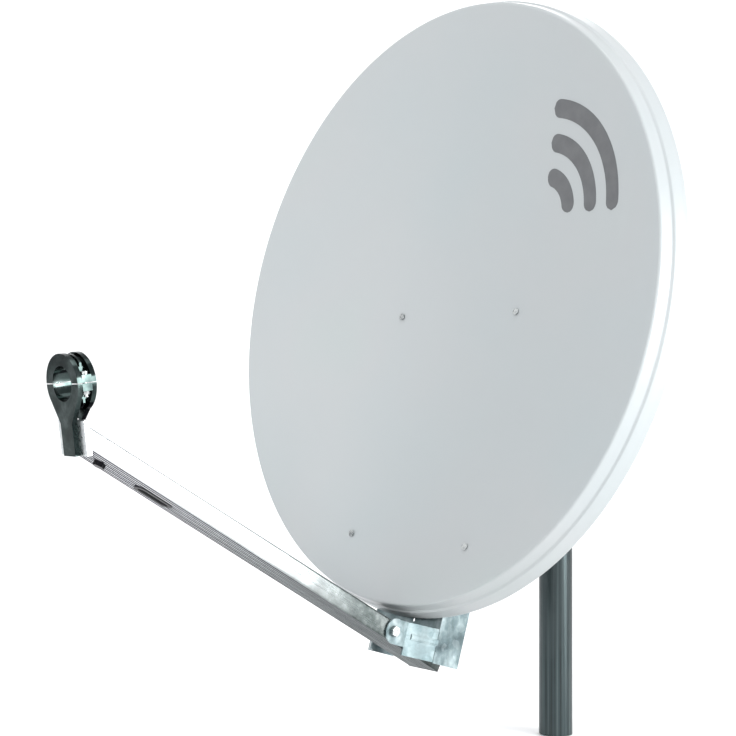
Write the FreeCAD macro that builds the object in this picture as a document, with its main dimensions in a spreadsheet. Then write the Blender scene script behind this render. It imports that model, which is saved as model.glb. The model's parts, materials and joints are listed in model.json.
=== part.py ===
"""Offset satellite dish on a mast stub, as an assembly of separate pieces.

Millimetres.  The mast's axis is X = Y = 0 with its foot at Z = 0, +Z is up and
the reflector looks towards -Y.  Five frames are used, each turned about X:
  row      the mast's own frame
  rim      origin at the centre of the reflector's rim, y to the back, z up the rim
  channel  origin midway between the lower reflector bolts, y to the back, z up
  arm      origin on the arm's fold bolt, y towards the arm's tail, z out of its top
  holder   origin at the centre of the clamp's front face, y towards the reflector
"""
import FreeCAD
import Part
import math
import os
import re
import Sketcher

V = FreeCAD.Vector
doc = FreeCAD.newDocument("satellite_dish")

# ---------------------------------------------------------------- driving sizes
SIZES = [
    ("dish_width", 780, "rim ellipse across, X"),
    ("focal", 502, "focal length of the parent paraboloid"),
    ("offset_angle", 21.1, "degrees between the boresight and the rim plane's normal"),
    ("rim_tilt", 10.2, "degrees that the rim plane leans back"),
    ("rim_back", -271, "row Y of the rim's centre"),
    ("rim_height", 640, "row Z of the rim's centre"),
    ("shell", 2.2, "reflector sheet, with its powder coat"),
    ("skirt_depth", 38, "turned-back skirt"),
    ("skirt_flare", 14, "how far the skirt opens on its way back"),
    ("bolt_side", 111.5, "reflector bolts, X"),
    ("bolt_high", -9.7, "upper reflector bolts, up the rim plane"),
    ("bolt_low", -330.2, "lower reflector bolts, up the rim plane"),
    ("gauge", 2.5, "galvanised steel sheet"),
    ("channel_half", 64, "half width of the dish bracket"),
    ("web_set", 35, "front of the bracket's web behind the bolts' chord plane"),
    ("foot_low", -152.5, "lower end of the bracket, channel z"),
    ("foot_high", -107.5, "upper edge of the arm cradle, channel z"),
    ("web_low", -114, "lower edge of the web, channel z"),
    ("foot_back", 83, "rear edge of the bracket's foot, channel y"),
    ("channel_top", 346, "upper end of the bracket, channel z"),
    ("pivot_back", -120, "row Y of the elevation bolt"),
    ("pivot_height", 560, "row Z of the elevation bolt"),
    ("lock_reach", 78, "elevation bolt to lock bolt"),
    ("slot_down", 20, "degrees of slot for lowering the aim"),
    ("slot_up", 23, "degrees of slot for raising the aim"),
    ("mast_r", 25, "mast tube, outside radius"),
    ("mast_wall", 2, "mast tube wall"),
    ("mast_top", 650, "length of the mast stub"),
    ("yoke_half", 61, "half width of the mast bracket"),
    ("yoke_web", -42, "row Y of the front of the mast bracket's web"),
    ("yoke_front", -142, "row Y of the front edge of its cheeks"),
    ("yoke_low", 446, "row Z of its lower edge"),
    ("yoke_high", 590, "row Z of its upper edge"),
    ("jaw_half", 52, "half width of the clamp jaws"),
    ("jaw_tall", 28, "height of a clamp jaw"),
    ("jaw_gap", 0.3, "play between the jaws and the mast, so that it turns"),
    ("jaw_bolt", 43, "clamp bolts, X"),
    ("jaw_low", 477, "row Z of the lower clamp"),
    ("jaw_high", 561, "row Z of the upper clamp"),
    ("arm_half", 28, "half width of the feed arm"),
    ("arm_wall", 2, "feed arm sheet"),
    ("arm_tail", 103, "fold bolt to the arm's tail"),
    ("arm_reach", 545, "fold bolt to the arm's front end, before its slanted cut"),
    ("arm_pitch", 30.4, "degrees that the arm rises to the front"),
    ("arm_y", -358.4, "row Y of the fold bolt"),
    ("arm_z", 197.6, "row Z of the fold bolt"),
    ("ear_r", 17, "round ear on the fold bolt's head side"),
    ("small_ear_r", 12, "round ear on its nut side"),
    ("clamp_r", 20, "feed clamp bore, a 40 mm neck"),
    ("clamp_out", 34, "feed clamp plates, outside radius"),
    ("clamp_deep", 24, "feed clamp, front to back"),
    ("clamp_pitch", 7, "degrees that the clamp's bore rises to the reflector"),
    ("clamp_y", -833.3, "row Y of the clamp's front centre"),
    ("clamp_z", 523.5, "row Z of the clamp's front centre"),
    ("stem_half", 12.4, "half width of the holder's stem"),
    ("bolt_r", 4, "M8 bolts"),
    ("pivot_r", 5, "M10 elevation bolt"),
    ("screw_r", 2.5, "M5 screws"),
    ("play", 0.05, "radial play of a bolt that turns in its hole"),
]
sheet = doc.addObject("Spreadsheet::Sheet", "Sizes")
for row, (alias, value, note) in enumerate(SIZES, 1):
    sheet.set(f"A{row}", alias)
    sheet.set(f"B{row}", str(value))
    sheet.set(f"C{row}", note)
    sheet.setAlias(f"B{row}", alias)
doc.recompute()
NAMES = {alias for alias, value, note in SIZES}
S = {alias: float(sheet.get(alias)) for alias in NAMES}


def rule(text):
    """A rule written in sheet names, as an expression that FreeCAD follows."""
    return re.sub(r"[a-z_]+", lambda m: "Sizes." + m[0] if m[0] in NAMES else m[0], str(text))


def bind(obj, rules):
    """Ties each named property of an object to a rule."""
    for prop, text in rules.items():
        obj.setExpression(prop, rule(text))
    return obj


# ------------------------------------------------------------ shapes to work with
AXES = {
    "X": FreeCAD.Rotation(V(0, 1, 0), V(0, 0, 1), V(1, 0, 0)),
    "-X": FreeCAD.Rotation(V(0, 0, 1), V(0, 1, 0), V(-1, 0, 0)),
    "Y": FreeCAD.Rotation(V(0, 0, 1), V(1, 0, 0), V(0, 1, 0)),
    "-Z": FreeCAD.Rotation(V(0, 1, 0), V(1, 0, 0), V(0, 0, -1)),
    "Z": FreeCAD.Rotation(),
}


def at(obj, place, axis="Z"):
    """Turns an object's own Z to an axis and ties its origin to three rules."""
    obj.Placement = FreeCAD.Placement(V(0, 0, 0), AXES[axis])
    for side, text in zip("xyz", place):
        obj.setExpression(f"Placement.Base.{side}", rule(text))
    return obj


def block(name, x, y, z):
    """A block between a low and a high rule on each axis."""
    obj = doc.addObject("Part::Box", name)
    spans = {"Length": x, "Width": y, "Height": z}
    bind(obj, {prop: f"({high}) - ({low})" for prop, (low, high) in spans.items()})
    return at(obj, (x[0], y[0], z[0]))


def rod(name, radius, length, place, axis="Z"):
    """A round bar that starts at a place and runs along an axis."""
    obj = bind(doc.addObject("Part::Cylinder", name), {"Radius": radius, "Height": length})
    return at(obj, place, axis)


def hexagon(name, corner, length, place, axis="Z"):
    """A six-sided bar, as a bolt's head or a nut."""
    obj = doc.addObject("Part::Prism", name)
    obj.Polygon = 6
    return at(bind(obj, {"Circumradius": corner, "Height": length}), place, axis)


def plate(name, corners, low, high, axis):
    """A closed outline of straight runs, carried from low to high along an axis.

    Each corner is a pair of rules: y, z for a plate along X and x, y along Z."""
    sketch = doc.addObject("Sketcher::SketchObject", name + "_outline")
    count = len(corners)
    start = [V(math.cos(2 * math.pi * k / count), math.sin(2 * math.pi * k / count), 0) * 100
             for k in range(count)]
    for k in range(count):
        sketch.addGeometry(Part.LineSegment(start[k], start[(k + 1) % count]))
    for k in range(count):
        sketch.addConstraint(Sketcher.Constraint("Coincident", k, 2, (k + 1) % count, 1))
    for k, corner in enumerate(corners):
        for kind, text, first in zip(("DistanceX", "DistanceY"), corner, start[k]):
            limit = Sketcher.Constraint(kind, -1, 1, k, 1, first)
            sketch.setExpression(f"Constraints[{sketch.addConstraint(limit)}]", rule(text))
    at(sketch, (low, 0, 0) if axis == "X" else (0, 0, low), axis)
    obj = doc.addObject("Part::Extrusion", name)
    obj.Base = sketch
    obj.DirMode = "Normal"
    obj.Solid = True
    return bind(obj, {"LengthFwd": f"({high}) - ({low})"})


def joined(name, parts):
    """Several shapes as one solid."""
    if len(parts) == 1:
        return parts[0]
    obj = doc.addObject("Part::MultiFuse", name)
    obj.Shapes = parts
    obj.Refine = True
    return obj


def less(name, base, tools):
    """A shape with others cut away from it."""
    obj = doc.addObject("Part::Cut", name)
    obj.Base = base
    obj.Tool = joined(name + "_tools", tools)
    return obj


def shared(name, first, second):
    """Only what two shapes have in common."""
    obj = doc.addObject("Part::Common", name)
    obj.Base = first
    obj.Tool = second
    return obj


def several(name, parts):
    """Like pieces kept as separate solids of one node."""
    obj = doc.addObject("Part::Compound", name)
    obj.Links = parts
    return obj


def ring(name, outer, inner, length, place, axis):
    """A washer, nut blank or tube."""
    return less(name, rod(name + "_disc", outer, length, place, axis),
                [rod(name + "_bore", inner, length, place, axis)])


def nut(name, bore, corner, height, place, axis):
    """A hexagon nut from a place along an axis."""
    return less(name, hexagon(name + "_blank", corner, height, place, axis),
                [rod(name + "_bore", bore, height, place, axis)])


PIECES = []


def piece(label, obj, frame=FreeCAD.Placement()):
    """Names a finished piece and moves it from its own frame to the row's."""
    obj.Label = label
    obj.Placement = frame.multiply(obj.Placement)
    PIECES.append(obj)
    return obj


def turned_frame(y, z, degrees):
    """A frame with its origin at row Y, Z, turned about X."""
    return FreeCAD.Placement(V(0, y, z), FreeCAD.Rotation(V(1, 0, 0), degrees))


# ------------------------------------------------------------------------ frames
ALPHA = math.radians(S["offset_angle"])
RIM = turned_frame(S["rim_back"], S["rim_height"], -S["rim_tilt"])
ARM = turned_frame(S["arm_y"], S["arm_z"], -S["arm_pitch"])
HOLDER = turned_frame(S["clamp_y"], S["clamp_z"], S["clamp_pitch"])
BORESIGHT = FreeCAD.Placement(V(0, 0, 0), FreeCAD.Rotation(V(1, 0, 0), 90 - S["offset_angle"]))
PARENT_RISE = 2 * S["focal"] * math.tan(ALPHA)


def on_dish(x, up):
    """Row point of the reflector's face behind the point x, up of the rim plane."""
    sunk = 0
    for _ in range(12):  # the paraboloid's depth along the boresight, by repeated substitution
        along = (up + sunk * math.sin(ALPHA)) * math.cos(ALPHA)
        sunk = ((S["dish_width"] / 2) ** 2 - x ** 2 - along ** 2) / (4 * S["focal"])
    return RIM.multVec(V(x, sunk * math.cos(ALPHA), up))


high_bolt = on_dish(S["bolt_side"], S["bolt_high"])
low_bolt = on_dish(S["bolt_side"], S["bolt_low"])
BOLT_SPAN = math.hypot(high_bolt.y - low_bolt.y, high_bolt.z - low_bolt.z)
LEAN = math.degrees(math.atan2(high_bolt.y - low_bolt.y, high_bolt.z - low_bolt.z))
CHANNEL = turned_frame(low_bolt.y, low_bolt.z, -LEAN)
PIVOT = CHANNEL.inverse().multVec(V(0, S["pivot_back"], S["pivot_height"]))
FOLD = CHANNEL.inverse().multVec(V(0, S["arm_y"], S["arm_z"]))

# -------------------------------------------------------------------- mast stub
tube = doc.addObject("PartDesign::Body", "tube")
section = tube.newObject("Sketcher::SketchObject", "tube_section")
ground = [part for part in tube.Origin.OriginFeatures if part.Role == "XY_Plane"][0]
section.AttachmentSupport = [(ground, "")]
section.MapMode = "FlatFace"
for number, text in enumerate(("mast_r", "mast_r - mast_wall")):
    section.addGeometry(Part.Circle(V(0, 0, 0), V(0, 0, 1), 20 - number))
    section.addConstraint(Sketcher.Constraint("Coincident", number, 3, -1, 1))
    limit = section.addConstraint(Sketcher.Constraint("Radius", number, 20 - number))
    section.setExpression(f"Constraints[{limit}]", rule(text))
length = tube.newObject("PartDesign::Pad", "tube_length")
length.Profile = section
bind(length, {"Length": "mast_top"})
piece("mast_tube", tube)

# pushed over the tube's upper end, so that the bore stays clear
piece("mast_cap", less("cap", rod("cap_outside", "mast_r + 2.1", 24, (0, 0, "mast_top - 20")), [
    rod("cap_inside", "mast_r + 0.1", 20, (0, 0, "mast_top - 20")),
]))

# ------------------------------------------------------- mast bracket and clamps
cheek = plate("yoke_side", [
    ("yoke_web + gauge", "yoke_low"), ("yoke_web + gauge", "yoke_high"),
    ("yoke_front + 24", "yoke_high"), ("yoke_front", "yoke_high - 24"),
    ("yoke_front", "yoke_low + 24"), ("yoke_front + 24", "yoke_low"),
], "-yoke_half", "yoke_half", "X")
inside = block("yoke_inside", ("gauge - yoke_half", "yoke_half - gauge"),
               ("yoke_front - 1", "yoke_web"), ("yoke_low - 1", "yoke_high + 1"))
yoke_holes = [
    rod("yoke_pivot", "pivot_r + 0.25", "2 * yoke_half + 2",
        ("-yoke_half - 1", "pivot_back", "pivot_height"), "X"),
    rod("yoke_lock", "bolt_r + 0.25", "2 * yoke_half + 2",
        ("-yoke_half - 1", "pivot_back", "pivot_height - lock_reach"), "X"),
]
LEVELS = {"lower": "jaw_low", "upper": "jaw_high"}
SIDES = {"left": -1, "right": 1}
FACES = {"saddle": -1, "jaw": 1}
clamp_bolts, clamp_washers, clamp_nuts = [], [], []
for level, height in LEVELS.items():
    for side, sign in SIDES.items():
        x = f"{sign} * jaw_bolt"
        tag = f"{level}_{side}"
        yoke_holes.append(rod(f"yoke_hole_{tag}", "bolt_r + 0.25", "gauge + 2",
                              (x, "yoke_web - 1", height), "Y"))
        clamp_bolts.append(joined(f"clamp_bolt_{tag}", [
            rod(f"clamp_head_{tag}", "2.2 * bolt_r", 4, (x, "yoke_web - 4", height), "Y"),
            rod(f"clamp_shank_{tag}", "bolt_r", "48 - yoke_web", (x, "yoke_web", height), "Y"),
        ]))
        clamp_washers.append(ring(f"clamp_washer_{tag}", "2 * bolt_r", "bolt_r + 0.2", 1.6,
                                  (x, 36, height), "Y"))
        clamp_nuts.append(nut(f"clamp_nut_{tag}", "bolt_r", "1.85 * bolt_r", 6.5,
                              (x, 37.6, height), "Y"))
piece("mast_bracket", less("yoke", less("yoke_shell", cheek, [inside]), yoke_holes))

for face, sign in FACES.items():
    # a vee of 120 degrees whose two flats nearly touch the mast
    back = "yoke_web + gauge" if sign < 0 else "36"
    apex = f"{sign} * (mast_r + jaw_gap) / cos(30 * 1 deg)"
    wide = "((mast_r + jaw_gap) / cos(30 * 1 deg) - 8) * tan(60 * 1 deg)"
    lip = f"{sign} * 8"
    for level, height in LEVELS.items():
        holes = [rod(f"{face}_{level}_{side}", "bolt_r + 0.25", 60,
                     (f"{turn} * jaw_bolt", -60 if sign < 0 else 0, height), "Y")
                 for side, turn in SIDES.items()]
        body = plate(f"{face}_{level}_block", [
            ("-jaw_half", back), ("jaw_half", back), ("jaw_half", lip), (wide, lip),
            ("0", apex), (f"-({wide})", lip), ("-jaw_half", lip),
        ], f"{height} - jaw_tall / 2", f"{height} + jaw_tall / 2", "Z")
        piece(f"{level}_{face}", less(f"{face}_{level}", body, holes))
piece("clamp_bolts", several("clamp_bolt_set", clamp_bolts))
piece("clamp_washers", several("clamp_washer_set", clamp_washers))
piece("clamp_nuts", several("clamp_nut_set", clamp_nuts))

# --------------------------------------------- elevation bolt and its lock bolts
piece("elevation_bolt", joined("pivot", [
    hexagon("pivot_head", "1.85 * pivot_r", 6.5,
            ("channel_half + 2.5", "pivot_back", "pivot_height"), "X"),
    rod("pivot_shank", "pivot_r", "2 * channel_half + 17",
        ("-channel_half - 14.5", "pivot_back", "pivot_height"), "X"),
]))
pivot_washers, lock_bolts, lock_washers, lock_nuts = [], [], [], []
lock_height = "pivot_height - lock_reach"
for side, sign in SIDES.items():
    axis = "X" if sign > 0 else "-X"

    def out(distance, height="pivot_height"):
        """A place so far out from the middle, on this side."""
        return (f"{sign} * ({distance})", "pivot_back", height)

    pivot_washers.append(ring(f"pivot_washer_{side}", "2 * pivot_r", "pivot_r + 0.2", 2,
                              out("channel_half + 0.5"), axis))
    lock_bolts.append(joined(f"lock_bolt_{side}", [
        rod(f"lock_head_{side}", "2.2 * bolt_r", 4, out("yoke_half - gauge - 4", lock_height),
            axis),
        rod(f"lock_shank_{side}", "bolt_r", "gauge + 18",
            out("yoke_half - gauge", lock_height), axis),
    ]))
    lock_washers.append(ring(f"lock_washer_{side}", "2.4 * bolt_r", "bolt_r + 0.2", 1.6,
                             out("channel_half + 0.5", lock_height), axis))
    lock_nuts.append(nut(f"lock_nut_{side}", "bolt_r", "1.85 * bolt_r", 6.5,
                         out("channel_half + 2.1", lock_height), axis))
piece("elevation_nut", nut("pivot_nut", "pivot_r", "1.85 * pivot_r", 8,
                           ("-channel_half - 2.5", "pivot_back", "pivot_height"), "-X"))
piece("elevation_washers", several("pivot_washer_set", pivot_washers))
piece("lock_bolts", several("lock_bolt_set", lock_bolts))
piece("lock_washers", several("lock_washer_set", lock_washers))
piece("lock_nuts", several("lock_nut_set", lock_nuts))

# ------------------------------------------------------------------ dish bracket
side_view = [
    ("web_set", "foot_low"), ("foot_back", "foot_low"), ("foot_back + 3", 110), (164, 194),
    (164, 247), (126, "channel_top"), ("web_set", "channel_top"),
]
outer = plate("channel_side", side_view, "-channel_half", "channel_half", "X")
hollow = block("channel_inside", ("gauge - channel_half", "channel_half - gauge"),
               ("web_set + gauge", "foot_back + 100"), ("foot_low - 1", "channel_top + 1"))
mouth = block("channel_mouth", ("gauge - channel_half", "channel_half - gauge"),
              ("web_set - 1", "web_set + gauge + 1"), ("foot_low - 1", "web_low"))
channel = less("channel", outer, [hollow, mouth])
cradle = [channel]
EAR_X = "arm_half + 0.5"
SHOULDER_Y = 8
BEAD_AT, BEAD_BACK = -125.5, 57
EARS = {"left": ("small_ear_r", 0), "right": ("ear_r", 3.5)}


def bead(name, sign, proud, tall):
    """A rib, so tall, that stands proud of the shoulder and runs on along the side."""
    start = S["arm_half"] + 3
    run, rise = S["channel_half"] - start, S["web_set"] + 1 - SHOULDER_Y
    lean = math.atan2(rise, run)
    first = (start + 0.15 * run, SHOULDER_Y + 0.15 * rise)
    lifted = (first[0] + proud * (math.sin(lean) + math.cos(lean)),
              first[1] + proud * (math.sin(lean) - math.cos(lean)))
    edge, bend = S["channel_half"], SHOULDER_Y + rise
    corner = bend - proud * (1 - math.sin(lean)) / math.cos(lean)
    outline = [first, lifted, (edge + proud, corner), (edge + proud, BEAD_BACK - proud),
               (edge, BEAD_BACK), (edge - 1, BEAD_BACK), (edge - 1, bend), (first[0], first[1] + 1)]
    return plate(name, [(sign * x, y) for x, y in outline],
                 BEAD_AT - tall / 2, BEAD_AT + tall / 2, "Z")


for side, sign in SIDES.items():
    inner, outside = f"{sign} * ({EAR_X})", f"{sign} * ({EAR_X} + gauge)"
    edge, edge_in = f"{sign} * channel_half", f"{sign} * (channel_half - gauge)"
    cradle.append(plate(f"shoulder_{side}", [
        (inner, SHOULDER_Y), (outside, SHOULDER_Y), (edge, "web_set + 1"), (edge, "web_set + 5"),
        (edge_in, "web_set + 5"), (inner, SHOULDER_Y + 3.5),
    ], "foot_low + 1", "foot_high", "Z"))
    ends = (inner, outside) if sign > 0 else (outside, inner)
    radius, set_back = EARS[side]
    cradle.append(block(f"ear_flat_{side}", ends, (FOLD.y + set_back, SHOULDER_Y + 2),
                        (f"{FOLD.z} - {radius}", "foot_high")))
    cradle.append(rod(f"ear_{side}", radius, "gauge", (ends[0], FOLD.y + set_back, FOLD.z), "X"))
    cradle.append(bead(f"bead_foot_{side}", sign, 1, 8))
    cradle.append(bead(f"bead_crown_{side}", sign, 1.8, 4.5))
holes = [
    rod("channel_pivot", "pivot_r + play", 200, (-100, PIVOT.y, PIVOT.z), "X"),
    rod("ear_hole", "bolt_r + 0.25", 100, (-50, FOLD.y, FOLD.z), "X"),
    rod("web_window", 32, 40, (0, "web_set - 20", 142), "Y"),
    rod("drain_hole", 2.5, 40, (11, "web_set - 20", -101), "Y"),
]
for end, degrees in (("low", -S["slot_up"]), ("high", S["slot_down"])):
    # the slot's round ends, as seen from the bracket when the lock bolt hangs straight down
    angle = math.radians(LEAN - degrees)
    holes.append(rod(f"slot_{end}", "bolt_r + 0.4", 200, (
        -100, PIVOT.y + S["lock_reach"] * math.sin(angle),
        PIVOT.z - S["lock_reach"] * math.cos(angle)), "X"))
sector = bind(doc.addObject("Part::Cylinder", "slot_sector"), {
    "Radius": "lock_reach + bolt_r + 0.4", "Height": 200, "Angle": "slot_up + slot_down"})
core = bind(doc.addObject("Part::Cylinder", "slot_core"), {
    "Radius": "lock_reach - bolt_r - 0.4", "Height": 200})
slot = less("slot", sector, [core])
start_angle = LEAN - S["slot_down"] - 90
slot.Placement = FreeCAD.Placement(V(-100, PIVOT.y, PIVOT.z), AXES["X"]).multiply(
    FreeCAD.Placement(V(0, 0, 0), FreeCAD.Rotation(V(0, 0, 1), start_angle)))
holes.append(slot)

# ----------------------------------------- cross straps and the reflector's bolts
STRAPS = {"lower": 0, "upper": BOLT_SPAN}
strap_bolts, strap_nuts, face_bolts, face_nuts, spacers = [], [], [], [], []
half_hat = [(125, 8), (125, 10.5), (87, 10.5), (66, "web_set"), (-66, "web_set"),
            (-87, 10.5), (-125, 10.5), (-125, 8), (-86, 8), (-64.5, "web_set - gauge"),
            (64.5, "web_set - gauge"), (86, 8)]
for level, height in STRAPS.items():
    strap_holes = []
    for side, sign in SIDES.items():
        tag = f"{level}_{side}"
        x = f"{sign} * bolt_side"
        seat = (f"{sign} * 35", "web_set", height)
        strap_holes.append(rod(f"strap_hole_{tag}", "screw_r + 0.25", 6, (x, 6, height), "Y"))
        strap_holes.append(rod(f"web_hole_{tag}", "bolt_r + 0.25", 20,
                               (seat[0], "web_set - 10", height), "Y"))
        holes.append(rod(f"channel_hole_{tag}", "bolt_r + 0.25", 20,
                         (seat[0], "web_set - 10", height), "Y"))
        strap_bolts.append(joined(f"strap_bolt_{tag}", [
            hexagon(f"strap_head_{tag}", "1.85 * bolt_r", 5.3,
                    (seat[0], "web_set - gauge - 5.3", height), "Y"),
            rod(f"strap_shank_{tag}", "bolt_r", "2 * gauge + 10",
                (seat[0], "web_set - gauge", height), "Y"),
        ]))
        strap_nuts.append(nut(f"strap_nut_{tag}", "bolt_r", "1.85 * bolt_r", 6.5,
                              (seat[0], "web_set + gauge", height), "Y"))
        face_bolts.append(joined(f"face_bolt_{tag}", [
            rod(f"face_head_{tag}", "1.8 * screw_r", 2, (x, -2.9, height), "Y"),
            rod(f"face_shank_{tag}", "screw_r", 22.9, (x, -0.9, height), "Y"),
        ]))
        face_nuts.append(nut(f"face_nut_{tag}", "screw_r", "1.85 * screw_r", 4,
                             (x, 10.5, height), "Y"))
        spacers.append(ring(f"spacer_{tag}", 9, "screw_r + 0.25", 10, (x, -2, height), "Y"))
    hat = plate(f"{level}_strap_hat", half_hat, f"{height} - 16", f"{height} + 16", "Z")
    piece(f"{level}_strap", less(f"{level}_strap_cut", hat, strap_holes), CHANNEL)
piece("dish_bracket", less("bracket", joined("bracket_blank", cradle), holes), CHANNEL)
piece("strap_bolts", several("strap_bolt_set", strap_bolts), CHANNEL)
piece("strap_nuts", several("strap_nut_set", strap_nuts), CHANNEL)
piece("reflector_bolts", several("face_bolt_set", face_bolts), CHANNEL)
piece("reflector_nuts", several("face_nut_set", face_nuts), CHANNEL)

# --------------------------------------------------------------------- reflector
# The face is a patch of z = (x x + y y) / 4F, whose control heights are the
# products of its limits, carried back by the sheet's thickness.
reach = S["dish_width"] / 2 + 6
low, high = PARENT_RISE - reach, PARENT_RISE + reach


def patch(lift):
    """Three by three control points of the parent paraboloid, lifted along its axis."""
    across = ((-reach, reach ** 2), (0, -reach ** 2), (reach, reach ** 2))
    along = ((low, low ** 2), ((low + high) / 2, low * high), (high, high ** 2))
    return [[V(x, y, (xx + yy) / (4 * S["focal"]) + lift) for y, yy in along]
            for x, xx in across]


surface = Part.BSplineSurface()
surface.buildFromPolesMultsKnots(patch(0), [3, 3], [3, 3], [0, 1], [0, 1], False, False, 2, 2)
vertex = V(0, -PARENT_RISE, -(PARENT_RISE ** 2 + (S["dish_width"] / 2) ** 2) / (4 * S["focal"]))
bowl_sheet = doc.addObject("Part::Feature", "bowl_sheet")
bowl_sheet.Shape = surface.toShape().extrude(V(0, 0, -S["shell"]))
bowl_sheet.Placement = BORESIGHT.multiply(FreeCAD.Placement(vertex, FreeCAD.Rotation()))
# the bowl's edge ends inside the thickness of the skirt
aperture = bind(doc.addObject("Part::Cylinder", "aperture"), {
    "Radius": "dish_width / 2 - 0.5", "Height": 700})
aperture.Placement = BORESIGHT.multiply(FreeCAD.Placement(V(0, 0, -350), FreeCAD.Rotation()))
bowl = shared("bowl", bowl_sheet, aperture)


def skirt_loft(name, inset):
    """The skirt's outer or inner face: rim-shaped ellipses that open towards the back."""
    rings = []
    for number, (depth, spread) in enumerate(SKIRT):
        ellipse = doc.addObject("Part::Ellipse", f"{name}_{number}")
        bind(ellipse, {
            "MajorRadius": f"dish_width / 2 / cos(offset_angle * 1 deg) + ({spread}) - {inset}",
            "MinorRadius": f"dish_width / 2 + ({spread}) - {inset}"})
        ellipse.Placement = FreeCAD.Placement(V(0, 0, 0), FreeCAD.Rotation(
            V(0, 0, 1), V(1, 0, 0), V(0, 1, 0)))
        ellipse.setExpression("Placement.Base.y", rule(depth))
        rings.append(ellipse)
    loft = doc.addObject("Part::Loft", name)
    loft.Sections = rings
    loft.Solid = True
    loft.Ruled = True
    return loft


SKIRT = [("0", "1"), ("skirt_depth * 0.45", "skirt_flare * 0.42"),
         ("skirt_depth * 0.52", "skirt_flare * 0.6"), ("skirt_depth", "skirt_flare")]
skirt = less("skirt", skirt_loft("skirt_outside", 0), [skirt_loft("skirt_inside", "shell")])
face_holes = several("face_holes", [
    rod(f"face_hole_{level}_{side}", "screw_r + 0.25", 60,
        (f"{sign} * bolt_side", -30, height), "Y")
    for level, height in STRAPS.items() for side, sign in SIDES.items()])
face_holes.Placement = RIM.inverse().multiply(CHANNEL)
reflector = piece("reflector", less("reflector_cut", joined("reflector_blank", [bowl, skirt]),
                                    [face_holes]), RIM)
# each spacer's front is shaped by the reflector's back, so it is cut to meet it
BACK = CHANNEL.inverse().multiply(RIM).multiply(BORESIGHT)
behind = doc.addObject("Part::Feature", "behind_bowl")
behind.Shape = surface.toShape().extrude(V(0, 0, -150))
behind.Placement = BACK.multiply(FreeCAD.Placement(vertex - V(0, 0, S["shell"]),
                                                   FreeCAD.Rotation()))
spacer_reach = block("spacer_reach", (-200, 200), (-10, 8), (-100, 500))
piece("reflector_spacers", shared("spacer_fit", shared("spacer_front", several(
    "spacer_set", spacers), behind), spacer_reach), CHANNEL)

# ---------------------------------------------------------------------- feed arm
ARM_TOP = ("arm_tail", 12.8), ("-arm_reach", 9.4)
ARM_UNDER = ("arm_tail", -14.4), ("-arm_reach", -11.3)


def under(along):
    """Height of the arm's underside at a distance along it."""
    share = (S["arm_tail"] - along) / (S["arm_tail"] + S["arm_reach"])
    return -14.4 + share * (14.4 - 11.3)


solid_arm = plate("arm_outside", [ARM_TOP[0], ARM_UNDER[0], ARM_UNDER[1], ARM_TOP[1]],
                  "-arm_half", "arm_half", "X")
duct = plate("arm_inside", [("arm_tail + 1", 10.8), ("arm_tail + 1", -12.4),
                            ("-arm_reach - 1", -9.3), ("-arm_reach - 1", 7.4)],
             "arm_wall - arm_half", "arm_half - arm_wall", "X")
SLOT_AT, SLOT_LONG, SLOT_WIDE = -404, 50, 18


def oval(name, long, wide, low, high):
    """An upright oval about the cable slot's centre."""
    ends = [rod(f"{name}_{k}", wide / 2, high - low,
                (0, SLOT_AT + sign * (long - wide) / 2, low)) for k, sign in SIDES.items()]
    middle = block(f"{name}_middle", (-wide / 2, wide / 2),
                   (SLOT_AT - (long - wide) / 2, SLOT_AT + (long - wide) / 2), (low, high))
    return joined(name, [middle] + ends)


HOLDER_BOLT = -487
end_cut = several("end_cut", [block("end_waste", (-60, 60), (-80, 13), (-160, 80))])
end_cut.Placement = ARM.inverse().multiply(HOLDER)
feed_arm = less("arm_cut", solid_arm, [
    duct, end_cut, oval("cable_slot", SLOT_LONG, SLOT_WIDE, -16, -6),
    rod("fold_hole", "bolt_r + play", 80, (-40, 0, 0), "X"),
    rod("holder_hole", "bolt_r + 0.25", 10, (0, HOLDER_BOLT, -16)),
])
piece("feed_arm", feed_arm, ARM)
lip = under(SLOT_AT)
piece("cable_grommet", less("grommet", joined("grommet_blank", [
    oval("grommet_lip", SLOT_LONG + 5, SLOT_WIDE + 5, lip - 1.6, lip - 0.2),
    oval("grommet_sleeve", SLOT_LONG - 0.4, SLOT_WIDE - 0.4, lip - 0.3, lip + 3.5),
]), [oval("grommet_way", SLOT_LONG - 5, SLOT_WIDE - 5, lip - 3, lip + 5)]), ARM)
piece("arm_tail_plug", joined("tail_plug", [
    block("tail_lid", ("-arm_half", "arm_half"), ("arm_tail", "arm_tail + 2"), (-14.4, 12.8)),
    block("tail_core", ("arm_wall - arm_half + 0.2", "arm_half - arm_wall - 0.2"),
          ("arm_tail - 12", "arm_tail"), (-12.1, 10.5)),
]), ARM)
piece("stop_bar", several("stop", [
    block("stop_strip", ("gauge - channel_half", "channel_half - gauge"), (66, 90), (13.3, 18.3)),
]), ARM)
piece("fold_bolt", joined("fold", [
    hexagon("fold_head", "1.85 * bolt_r", 5.3, (f"{EAR_X} + gauge", 0, 0), "X"),
    rod("fold_shank", "bolt_r", f"2 * ({EAR_X} + gauge) + 12",
        (f"-({EAR_X} + gauge + 12)", 0, 0), "X"),
]), ARM)
piece("fold_nut", nut("fold_nut_body", "bolt_r", "1.85 * bolt_r", 8,
                      (f"-({EAR_X} + gauge)", 0, 0), "-X"), ARM)
piece("holder_bolt", joined("holder_screw", [
    hexagon("holder_head", "1.85 * bolt_r", 5.3, (0, HOLDER_BOLT, under(HOLDER_BOLT) - 5.5)),
    rod("holder_shank", "bolt_r", 14, (0, HOLDER_BOLT, under(HOLDER_BOLT) - 0.2)),
]), ARM)

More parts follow.
